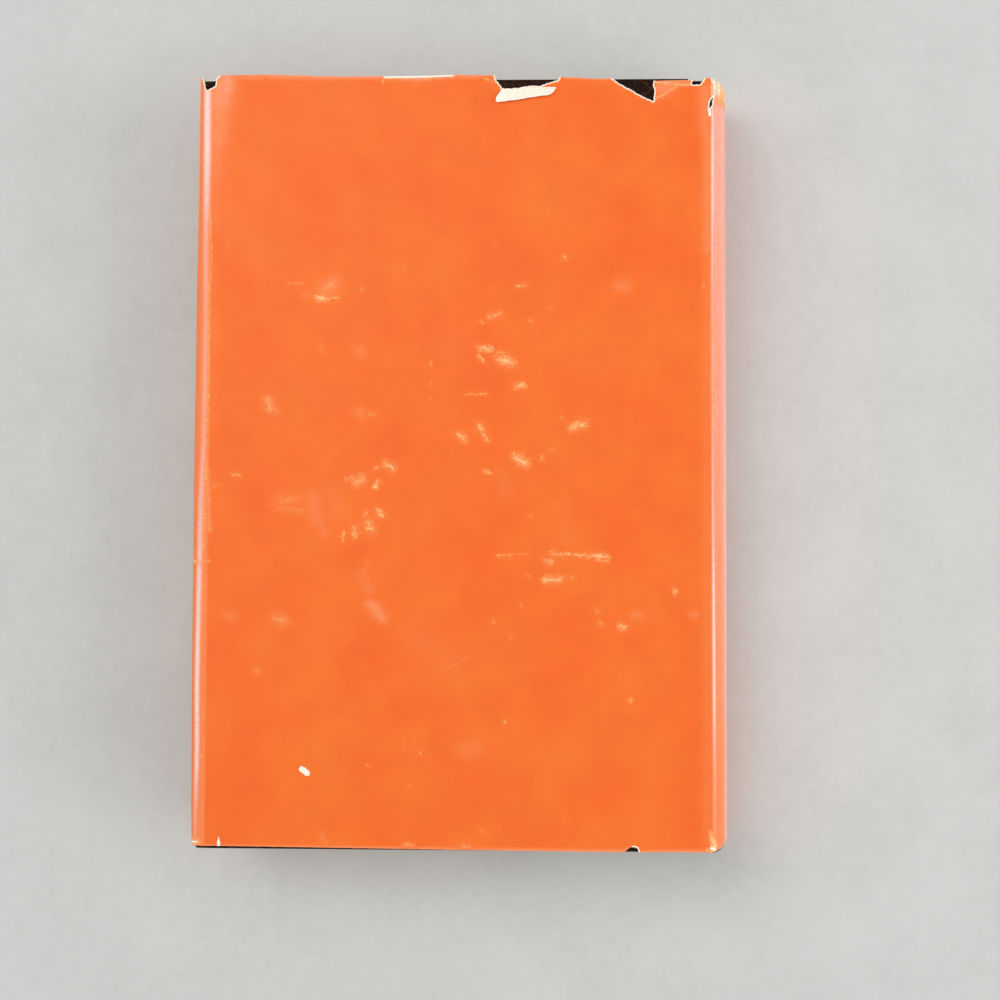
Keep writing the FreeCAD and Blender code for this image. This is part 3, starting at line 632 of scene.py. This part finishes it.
def buildJacketBack():
    chance = random.Random(5)
    torn = {name: [onSheet(p) for p in points] for name, points in tornEdges.items()}
    head = {name: [onSheet(p) for p in points] for name, points in headEdge.items()}
    tail = {name: [onSheet(p) for p in points] for name, points in tailEdge.items()}
    tailY, headY = jacketLow[1], jacketHigh[1]
    spineTail = [(ridgeLength + 3, tailY - 0.1), (wholeLength, tailY)]
    spineHead = [(wholeLength, jacketSpineHigh[1]), (wholeLength - 6, jacketSpineHigh[1] + 0.1),
                 (ridgeLength + 4, jacketSpineHigh[1] - 0.15)]
    # Walked anticlockwise from the tail of the flap's end; True marks a torn stretch
    route = [
        ([(0.0, tailY + 0.2), (crestLength - 4, tailY + 0.15)] + tail["left"], False),
        (torn["tailNotch"], True),
        (tail["right"] + spineTail, False),
        (spineHead, True),
        (torn["ridgeSlit"], True),
        (torn["spineGap"], True),
        (head["right"], False),
        (torn["secondTear"], True),
        (head["betweenTears"], False),
        (torn["firstTear"], True),
        (head["left"], False),
        (torn["corner"], True),
        ([(crestLength, headY + 0.1), (crestLength - 4, headY - 0.1), (0.0, headY - 0.2)], False),
    ]
    outline, tornPoints = [], []
    for i, (points, isTorn) in enumerate(route):
        following = route[(i + 1) % len(route)][0][0]
        if isTorn:
            walked = walkLine(points, 0.42, 0.14, chance) + [points[-1]]
            tornPoints += walked[len(walked) // 2:] if points is torn["tailNotch"] else walked
            outline += walked + walkLine([points[-1], following], 0.6, 0.05, chance)[1:]
        else:
            outline += walkLine(points + [following], 1.3, 0.03, chance)
    outline = [p for i, p in enumerate(outline) if math.dist(p, outline[i - 1]) > 0.08]
    hole = walkLine([onSheet(p) for p in slitHole] + [onSheet(slitHole[0])], 0.4, 0.08, chance)
    tornPoints += hole

    foldStops = np.arange(crestLength - 6, edgeLength + 3, 0.34)
    ridgeStops = np.concatenate([np.arange(ridgeLength - 4, ridgeLength + 3, 0.34), np.arange(ridgeLength + 3.4, wholeLength, 0.9)])
    panelStops = np.arange(edgeLength + 4, ridgeLength - 5, 2.0)
    flapStops = np.arange(3, crestLength - 7, 5.0)
    inner = []
    for stops, step in ((foldStops, 1.0), (ridgeStops, 1.0), (panelStops, 2.0), (flapStops, 5.0)):
        ys = np.arange(tailY + 0.9, headY - 0.5, step)
        inner.append(np.stack(np.meshgrid(stops, ys), axis=-1).reshape(-1, 2))
    alongRidge = np.arange(tailY + 1.2, headY - 1.2, 0.5)  # close points, so that the worn and highlighted ridge is an unbroken line
    for aside in (-0.35, 0.0, 0.35):
        inner.append(np.stack([alongLine(ridgeWearAndHighlight, alongRidge)[0] + aside, alongRidge], axis=1))
    for x0, y0, x1, y1, half, *_ in rubs + bareSpots:
        start, end = np.array(onSheet((x0, y0))), np.array(onSheet((x1, y1)))
        length = np.hypot(*(end - start)) + 1e-6
        way = (end - start) / length
        reach = 1.7 * half * pixelSize
        step = max(0.3, 0.62 * half * pixelSize)
        runs = np.arange(-reach, length + reach + step, step)
        sides = np.arange(-reach, reach + step, step)
        u, v = np.meshgrid(runs, sides)
        inner.append(np.stack([start[0] + u.ravel() * way[0] - v.ravel() * way[1],
                               start[1] + u.ravel() * way[1] + v.ravel() * way[0]], axis=1))
    for s, y in tornPoints:  # close points either side of every torn edge
        for distance, count in ((0.32, 6), (0.75, 7), (1.4, 8)):
            angles = np.arange(count) * math.tau / count + chance.random()
            inner.append(np.stack([s + distance * np.cos(angles), y + distance * np.sin(angles)], axis=1))
    inner = np.concatenate(inner)
    jitter = np.random.default_rng(3).uniform(-0.03, 0.03, inner.shape)
    inner = np.unique(np.round((inner + jitter) * 5).astype(int), axis=0) / 5.0
    inner = inner + np.random.default_rng(4).uniform(-0.02, 0.02, inner.shape)
    flat, triangles = fillSheet(outline, [hole], inner)
    x, h, normal = placeSheet(flat[:, 0], flat[:, 1])

    rub, fade = wearValues(flat)
    lengths, ys = flat[:, 0], flat[:, 1]
    tornEdge = np.array(tornPoints)
    distance = np.full(len(flat), 9.0)
    for start in range(0, len(tornEdge), 200):
        block = tornEdge[start:start + 200]
        gaps = np.hypot(lengths[:, None] - block[:, 0], ys[:, None] - block[:, 1]).min(axis=1)
        distance = np.minimum(distance, gaps)
    core = np.clip(1.05 - distance / 0.62, 0, 1)
    rub = np.maximum(rub, 0.5 * np.clip(1.1 - distance / 0.8, 0, 1))
    cut = np.array(outline)
    edgeGap = np.full(len(flat), 9.0)
    for start in range(0, len(cut), 200):
        block = cut[start:start + 200]
        edgeGap = np.minimum(edgeGap, np.hypot(lengths[:, None] - block[:, 0], ys[:, None] - block[:, 1]).min(axis=1))
    shown = lengths > crestLength - 0.6
    fade = np.maximum(fade, np.where(shown, 0.45 * np.clip(1 - edgeGap / 0.8, 0, 1), 0))
    # The fore-edge fold: rubbed crest, a pale strip of painted highlight on worn paper, broken crease and a paler band
    # over the fold
    place, width, strength = alongLine(foldShine, ys)
    fade = np.maximum(fade, strength * np.exp(-(np.abs(lengths - place) / (width * 0.36)) ** 2.4))
    crest = np.interp(ys, [-108, -60, 50, 74, 108], [.35, .2, .22, 1.0, 1.0]) * np.exp(-((lengths - crestLength - 0.22) / 0.34) ** 2)
    fade = np.maximum(fade, crest)
    rub = np.maximum(rub, 0.42 * crest)
    place, strength = alongLine(creaseWear, ys)
    rub = np.maximum(rub, np.where(ys < 80, 0.75 * strength, 0) * np.exp(-((lengths - place) / 0.36) ** 2))
    onFold = np.clip((lengths - crestLength) / 0.6, 0, 1) * np.clip((edgeLength + 0.7 - lengths) / 0.7, 0, 1)
    fade = np.maximum(fade, 0.3 * onFold)
    # The spine: ink faded to pink, ridge rubbed white and given a painted highlight, head worn to the paper
    onSpine = np.clip((lengths - ridgeLength) / 0.7, 0, 1)
    headShare = np.clip((ys - (headY - 9)) / 5, 0, 1)
    vein = np.array([noise.noise(Vector((s / 0.5, y / 14.0, 3.0))) for s, y in flat]) * onSpine
    fade = np.maximum(fade, spineFade(lengths, ys))
    fade = np.maximum(fade, onSpine * headShare * (0.95 + 0.3 * vein))
    rub = np.maximum(rub, onSpine * headShare * (1.25 + 0.9 * vein))
    core = np.maximum(core, onSpine * headShare * (0.46 + 1.0 * vein))
    # The ridge's pale line: rubbed paper and a painted highlight
    place, width, strength = alongLine(ridgeWearAndHighlight, ys)
    rub = np.maximum(rub, strength * 0.12 * np.exp(-((lengths - place) / (width * 0.4)) ** 2))
    fade = np.maximum(fade, 1.1 * strength * np.exp(-((lengths - place) / (width * 0.5)) ** 2))
    tailShare = np.clip((jacketLow[1] + 3.4 - ys) / 2.4, 0, 1) * np.clip((lengths - ridgeLength + 1.6) / 1.6, 0, 1)
    rub = np.maximum(rub, tailShare * np.interp(lengths, [ridgeLength - 1, ridgeLength + 1.4, ridgeLength + 1.9], [1.1, 1.1, 0]))
    for x0, y0, x1, y1, half in bareSpots:
        near = nearSegment(flat, onSheet((x0, y0)), onSheet((x1, y1)))
        core = np.maximum(core, np.clip(1.4 - near / (half * pixelSize), 0, 1))
    # Torn edges stand up a little from the cloth
    lift = 0.16 * np.clip(1 - distance / 2.2, 0, 1) ** 2
    h = h + np.where(lengths > crestLength + 1, lift, 0)
    points, faces, kinds = sheetShell(x, ys, h, normal, triangles, jacket["thick"], 1)
    flatPlace = np.stack([lengths, ys, np.zeros(len(flat))], axis=1)

    # The torn strip folded down over the panel, its bare side up
    corners = [onSheet(p) for p in foldedPiece]
    loop = walkLine(corners + [corners[0]], 0.5, 0.06, chance)
    low = np.min(loop, axis=0)
    high = np.max(loop, axis=0)
    inside = np.stack(np.meshgrid(np.arange(low[0], high[0], 0.7), np.arange(low[1], high[1], 0.7)), axis=-1).reshape(-1, 2)
    pieceFlat, pieceTriangles = fillSheet(loop, [], inside + 0.013)
    creaseY = np.interp(pieceFlat[:, 0], [corners[0][0], corners[4][0]], [corners[0][1], corners[4][1]])
    down = np.clip(creaseY - pieceFlat[:, 1], 0, None)
    px, ph, pn = placeSheet(pieceFlat[:, 0], pieceFlat[:, 1])
    ph = ph + 0.18 + 0.52 * np.sin(np.clip(down / 3.4, 0, 1) * math.pi * 0.62)
    piecePoints, pieceFaces, pieceKinds = sheetShell(px, pieceFlat[:, 1], ph, pn, pieceTriangles, jacket["thick"], 1)
    offset = len(points)
    points = np.concatenate([points, piecePoints])
    faces += [tuple(i + offset for i in face) for face in pieceFaces]
    kinds += [{0: 1, 1: 0, 2: 2}[kind] for kind in pieceKinds]
    pieceFlat3 = np.stack([pieceFlat[:, 0], pieceFlat[:, 1], np.zeros(len(pieceFlat))], axis=1)
    zeros = np.zeros(2 * len(pieceFlat))
    values = {
        "rub": np.concatenate([rub, rub, zeros]),
        "fade": np.concatenate([fade, fade, zeros]),
        "core": np.concatenate([core, core, zeros]),
        "flatPlace": np.concatenate([flatPlace, flatPlace, pieceFlat3, pieceFlat3]),
    }
    piece = makeMesh("jacketBackPanel", points, faces, [jacketPaper, jacketBack, jacketBack], kinds, values)
    print("jacket back", len(faces), "faces")
    return piece


def buildJacketFront():
    chance = random.Random(8)
    tailY, headY = jacketLow[1], jacketHigh[1]
    corners = [(0.0, tailY + 0.2), (wholeLength, tailY), (wholeLength, jacketSpineHigh[1]),
               (ridgeLength, jacketSpineHigh[1] + 0.1), (ridgeLength - 2, headY - 0.4), (crestLength, headY), (0.0, headY - 0.2)]
    outline = walkLine(corners + [corners[0]], 1.6, 0.04, chance)
    inner = []
    for first, last, across, along in ((4, crestLength - 6, 5, 5), (crestLength - 6, edgeLength + 3, 0.5, 2.5),
                                       (edgeLength + 5, ridgeLength - 4, 4, 4), (ridgeLength - 3, wholeLength, 0.7, 2.5)):
        inner.append(np.stack(np.meshgrid(np.arange(first, last, across), np.arange(tailY + 1, headY - 0.6, along)), axis=-1).reshape(-1, 2))
    inner = np.concatenate(inner) + np.random.default_rng(6).uniform(-0.02, 0.02, (sum(len(i) for i in inner), 2))
    flat, triangles = fillSheet(outline, [], inner)
    lengths, ys = flat.T
    x, h, normal = placeSheet(lengths, ys, ripple=0.0)
    # Rubbed crest, and along the ridge a pale line of rubbed paper and painted highlight, as on the back
    crest = np.exp(-((lengths - crestLength) / 0.6) ** 2)
    ridge = np.exp(-((lengths - ridgeLength) / 0.7) ** 2)
    onSpine = np.clip((lengths - ridgeLength) / 0.7, 0, 1)
    ends = np.clip((np.abs(ys) - 103) / 5, 0, 1)
    rub = np.maximum(0.5 * crest, 0.6 * ridge)
    rub = np.maximum(rub, onSpine * np.where(ys > 0, 0.85, 0.6) * ends)
    fade = np.maximum.reduce([0.6 * crest, 0.8 * ridge, spineFade(lengths, ys)])
    points, faces, kinds = sheetShell(x, ys, h, normal, triangles, jacket["thick"], -1)
    flatPlace = np.stack([lengths + 400, ys, np.zeros(len(flat))], axis=1)
    values = {"rub": np.tile(rub, 2), "fade": np.tile(fade, 2), "core": np.zeros(2 * len(flat)), "flatPlace": np.tile(flatPlace, (2, 1))}
    return makeMesh("jacketFrontPanel", points, faces, [jacketPaper, jacketBack, jacketBack], kinds, values)


# The cloth case, one half at a time: a covered board, the dip of the joint and half the spine

case = {
    "cloth": 0.4,
    "innerFace": 3.15,  # depth of the turned-in cloth below the jacket's face
    "grooveDepth": 2.7,
    "edgeDrop": 0.28,
    "cornerRound": 0.7,
    "endRound": 0.4,
}


def caseSection():
    # Closed loop of (x, height)
    outerH = clothHigh[2] - middle
    innerH = middle - case["innerFace"]
    floorH = middle - case["grooveDepth"]
    clothRise = spineHigh[0] - shoulder
    arc = spineArc(clothRise, outerH - 0.1, shoulder, 14)
    arcIn = spineArc(clothRise - case["cloth"], outerH - 0.1 - case["cloth"], shoulder, 14)
    outerPath = roundedPath([
        (clothLow[0], 0.5 * (outerH + innerH), 0), (clothLow[0], outerH - case["edgeDrop"], 0.35), (clothLow[0] + jacket["bendRun"], outerH, 0.7),
        (boardHigh[0] + 0.4, outerH, 0.6),
        (boardHigh[0] + 1.2, floorH, 0.5), (shoulder - 1.4, floorH, 0.8), (*arc[0], 0.5), (*arc[1], 0)])
    innerPath = roundedPath([
        (*arcIn[1], 0), (shoulder - 0.2, outerH - 1.1, 0.3), (shoulder - 1.2, floorH - 0.4, 0.6), (boardHigh[0] + 1.0, floorH - 0.4, 0.4),
        (boardHigh[0] + 0.2, innerH, 0.4), (clothLow[0], innerH, 0.7), (clothLow[0], 0.5 * (outerH + innerH), 0)])
    return outerPath + arc[2:] + arcIn[:1:-1] + innerPath[:-1]


def buildCaseHalf(name, side):
    loop = np.array(caseSection())
    low, high = clothLow[1], clothHigh[1]
    ends = [0.0, 0.08, 0.25, 0.5, 0.8, 1.2, 1.7, 2.4, 3.4, 4.6]
    stations = [low + t for t in ends] + list(np.linspace(low + 8, high - 8, 22)) + [high - t for t in reversed(ends)]
    board = loop[:, 0] < boardHigh[0] + 0.3
    centreH = 0.5 * (loop[board, 1].max() + loop[board, 1].min())
    points, faces = [], []
    for y in stations:
        t = min(y - low, high - y)
        squeeze = case["endRound"] - math.sqrt(max(case["endRound"] ** 2 - max(case["endRound"] - t, 0) ** 2, 0))
        corner = case["cornerRound"] - math.sqrt(max(case["cornerRound"] ** 2 - max(case["cornerRound"] - t, 0) ** 2, 0))
        x, h = loop[:, 0].copy(), loop[:, 1].copy()
        fore = np.clip(1 - (x - clothLow[0]) / 6, 0, 1)
        x = x + corner * fore
        h = np.where(board, h - np.sign(h - centreH) * np.minimum(squeeze, np.abs(h - centreH)), h)
        spinePart = x > shoulder
        x = np.where(spinePart, shoulder + (x - shoulder) * (1 - crushed(np.full(len(x), y), low, high)), x)
        points += [(px, y, middle + side * ph) for px, ph in zip(x, h)]
    count = len(loop)
    for row in range(len(stations) - 1):
        a = row * count
        for i in range(count):
            j = (i + 1) % count
            quad = (a + i, a + j, a + j + count, a + i + count)
            faces.append(quad if side < 0 else quad[::-1])
    first = tuple(range(count))
    last = tuple((len(stations) - 1) * count + i for i in range(count))
    faces += [first[::-1], last] if side < 0 else [first, last[::-1]]
    return makeMesh(name, points, faces, [caseClothStuff])


# The pages: packets of leaves, each trimmed a hair differently

pages = {
    "packets": 96,
    "hollow": 2.6,
    "foreJitter": 0.07,
    "endJitter": 0.05,
    "flareRun": 1.0,  # the leaves turn outward at the back over this length
    "backRise": pagesHigh[0] - shoulder,
}


def buildPages():
    chance = random.Random(21)
    high = leafLow[2]
    low = 2 * middle - high
    flare = (pagesHigh[2] - middle) / (high - middle) - 1
    step = (high - low) / pages["packets"]
    radius = ((pagesHigh[2] - middle) ** 2 + pages["backRise"] ** 2) / (2 * pages["backRise"])
    rows = 13
    points, faces = [], []
    for n in range(pages["packets"]):
        bottom = low + n * step - middle
        top = bottom + step - chance.uniform(0.0, 0.035)
        across = (bottom + top) / (high - low)
        fore = pagesLow[0] + pages["hollow"] * (1 - across ** 2) + chance.uniform(0, pages["foreJitter"])
        spread = (bottom + top) / 2 * (1 + flare)
        back = pagesHigh[0] - radius + math.sqrt(radius ** 2 - spread ** 2)
        tail = pagesLow[1] + chance.uniform(0, pages["endJitter"])
        head = pagesHigh[1] - chance.uniform(0, pages["endJitter"])
        bow = chance.uniform(0.0, 0.12)
        start = shoulder - pages["flareRun"]
        stations = [fore, 0.0, shoulder - 20] + [start + pages["flareRun"] * t for t in (0, 0.35, 0.7, 1)] + [back + 0.01]
        base = len(points)
        for x in stations:
            turned = 1 + flare * min(max((x - start) / pages["flareRun"], 0), 1)
            for k in range(rows):
                t = k / (rows - 1)
                px = x + bow * math.sin(t * math.pi) if x == fore else x
                py = tail + (head - tail) * t
                points += [(px, py, middle + bottom * turned), (px, py, middle + top * turned)]
        last = len(stations) - 1

        def corner(i, k, upper):
            return base + (i * rows + k) * 2 + upper

        for i in range(last):
            for k in range(rows - 1):
                for upper in (0, 1):
                    quad = (corner(i, k, upper), corner(i + 1, k, upper), corner(i + 1, k + 1, upper), corner(i, k + 1, upper))
                    faces.append(quad if upper else quad[::-1])
            faces.append((corner(i, 0, 0), corner(i + 1, 0, 0), corner(i + 1, 0, 1), corner(i, 0, 1)))
            faces.append((corner(i, rows - 1, 1), corner(i + 1, rows - 1, 1), corner(i + 1, rows - 1, 0), corner(i, rows - 1, 0)))
        for k in range(rows - 1):
            faces.append((corner(0, k, 1), corner(0, k + 1, 1), corner(0, k + 1, 0), corner(0, k, 0)))
            faces.append((corner(last, k, 0), corner(last, k + 1, 0), corner(last, k + 1, 1), corner(last, k, 1)))
    return makeMesh("pageBlock", points, faces, [pageStock], sharp=20)


# Endpapers: one folded sheet a side, pasted to the board, turned over the joint and laid on the pages

endpaper = {"thick": 0.16, "pasteDepth": 3.23, "leafDepth": 3.8, "turnIn": 14.0, "turnInStep": 0.05}


def buildEndpaper(name, side):
    e = endpaper
    pasteH, leafH = middle - e["pasteDepth"], middle - e["leafDepth"]
    gutter = (leafHigh[0] - 0.2, leafH + 0.12)
    path = np.array(roundedPath([
        (pasteLow[0], pasteH, 0), (boardHigh[0] - 0.5, pasteH, 0.8), (*gutter, 0.35), (boardHigh[0] - 2, leafH, 0.8), (leafLow[0], leafH, 0)]))
    stretches = []
    for (x0, h0), (x1, h1) in zip(path, path[1:]):
        parts = max(1, round(abs(x1 - x0) / 5))
        stretches += [(x0 + (x1 - x0) * i / parts, h0 + (h1 - h0) * i / parts) for i in range(parts)]
    stretches.append(tuple(path[-1]))
    section = np.array(stretches)
    tangent = np.gradient(section, axis=0)
    tangent /= np.linalg.norm(tangent, axis=1)[:, None]
    normal = np.stack([-tangent[:, 1], tangent[:, 0]], axis=1)
    ys = np.concatenate([np.linspace(pasteLow[1], pasteHigh[1], 45)])
    points, faces = [], []
    for skin in (1, -1):
        for y in ys:
            for (x, h), (nx, nh) in zip(section, normal):
                points.append((x + skin * nx * e["thick"] / 2, y, middle + side * (h + skin * nh * e["thick"] / 2)))
    wide, tall = len(section), len(ys)
    size = wide * tall
    for row in range(tall - 1):
        for i in range(wide - 1):
            a = row * wide + i
            quad = (a, a + 1, a + 1 + wide, a + wide)
            outer = quad if side > 0 else quad[::-1]
            faces.append(outer)
            faces.append(tuple(p + size for p in outer[::-1]))
    loop = list(range(wide)) + [row * wide + wide - 1 for row in range(1, tall)]
    loop += [size - 1 - i for i in range(1, wide)] + [row * wide for row in range(tall - 2, 0, -1)]
    for a, b in zip(loop, loop[1:] + loop[:1]):
        rim = (a, a + size, b + size, b)
        faces.append(rim if side > 0 else rim[::-1])
    return makeMesh(name, points, faces, [endpaperStock])


# Head and tail bands: a bead of thread sewn over a core along the rounded back

bands = {"stitch": 0.75, "sides": 10}


def buildBand(name, node):
    low, high = nodeBox(node)
    reach = high[1] - low[1]
    thick = 1.5
    radius = ((pagesHigh[2] - middle) ** 2 + pages["backRise"] ** 2) / (2 * pages["backRise"])
    y = (low[1] + high[1]) / 2
    zs = np.arange(low[2] + 0.3, high[2] - 0.3, bands["stitch"] / 5)
    points, stripe, faces = [], [], []
    for i, z in enumerate(zs):
        centreX = high[0] - 0.1 - thick / 2 - (radius - math.sqrt(radius ** 2 - (z - middle) ** 2))
        stitch = (z - low[2]) / bands["stitch"]
        swell = 0.9 + 0.1 * abs(math.sin(stitch * math.pi))
        endTaper = min(1.0, 0.35 + min(i, len(zs) - 1 - i) * 0.2)
        for k in range(bands["sides"]):
            angle = k * math.tau / bands["sides"]
            points.append((centreX + math.cos(angle) * thick / 2 * swell * endTaper, y + math.sin(angle) * reach / 2 * swell * endTaper, z))
            stripe.append(1.0 if int(stitch) % 2 else 0.0)
    n = bands["sides"]
    for i in range(len(zs) - 1):
        for k in range(n):
            a, b = i * n + k, i * n + (k + 1) % n
            faces.append((a, b, b + n, a + n))
    faces += [tuple(range(n - 1, -1, -1)), tuple((len(zs) - 1) * n + k for k in range(n))]
    return makeMesh(name, points, faces, [bandThread], values={"stripe": stripe}, sharp=80)


print("stage: jacket")
backJacket = buildJacketBack()
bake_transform(backJacket)
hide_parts("jacket_back", "jacket_spine")
frontJacket = buildJacketFront()
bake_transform(frontJacket)
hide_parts("jacket_front", "jacket_spine")

print("stage: case, pages and endpapers")
for side, label in ((1, "back"), (-1, "front")):
    half = buildCaseHalf(f"{label}CaseCloth", side)
    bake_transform(half)
    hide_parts(f"{label}_cover_cloth", "spine_cloth")
    paper = buildEndpaper(f"{label}Endpaper", side)
    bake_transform(paper)
    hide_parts(f"{label}_pastedown", f"{label}_free_endpaper")

pageBlock = buildPages()
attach(pageBlock, "text_block")
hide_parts("text_block")
for name, node in (("headBand", "head_band"), ("tailBand", "tail_band")):
    band = buildBand(name, node)
    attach(band, "text_block")
    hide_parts(node)

print("stage: inner pieces")
innerFinish = {
    "back_board": greyBoard, "front_board": greyBoard, "spine_strip": greyBoard,
    "spine_lining": kraftStock, "mull_lining": mullGauze,
}
for node, material in innerFinish.items():
    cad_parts[node].data.materials.clear()
    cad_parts[node].data.materials.append(material)


# The studio: pale floor, one large soft lamp to the upper left, a weaker one opposite, pale surroundings

studio = {"floor": "#d3d3d1", "floorSize": 4000, "world": 0.62, "keyPower": 6.4, "fillPower": 8.0}

print("stage: studio")
half = studio["floorSize"] / 2
floorPiece = makeMesh("studioFloor", [(-half, -half, -0.02), (half, -half, -0.02), (half, half, -0.02), (-half, half, -0.02)],
                      [(0, 1, 2, 3)], [makePlainStock("palePaintedFloor", studio["floor"], "#cdcdcb", 4.0, bumpDepth=0.0)])

world = bpy.data.worlds.new("studioAir")
bpy.context.scene.world = world
world.use_nodes = True
world.node_tree.nodes["Background"].inputs["Color"].default_value = (1, 1, 1, 1)
world.node_tree.nodes["Background"].inputs["Strength"].default_value = studio["world"]


def addLamp(name, place, size, power):
    lamp = bpy.data.lights.new(name, "AREA")
    lamp.shape = "SQUARE"
    lamp.size = size
    lamp.energy = power
    holder = bpy.data.objects.new(name, lamp)
    holder.location = place
    holder.rotation_euler = (-Vector(place)).to_track_quat("-Z", "Y").to_euler()
    bpy.context.scene.collection.objects.link(holder)


addLamp("keyLamp", (-0.7, 0.55, 1.1), 0.9, studio["keyPower"])
addLamp("fillLamp", (1.2, -0.2, 0.55), 1.0, studio["fillPower"])

camera = bpy.data.objects.new("camera", bpy.data.cameras.new("camera"))
camera.data.lens = photoView["lens"]
camera.data.sensor_width = photoView["sensor"]
camera.data.clip_start = 0.01
camera.location = cameraPlace * mm
camera.rotation_euler = cameraTurn
bpy.context.scene.collection.objects.link(camera)
bpy.context.scene.camera = camera
bpy.context.scene.view_settings.view_transform = "Standard"
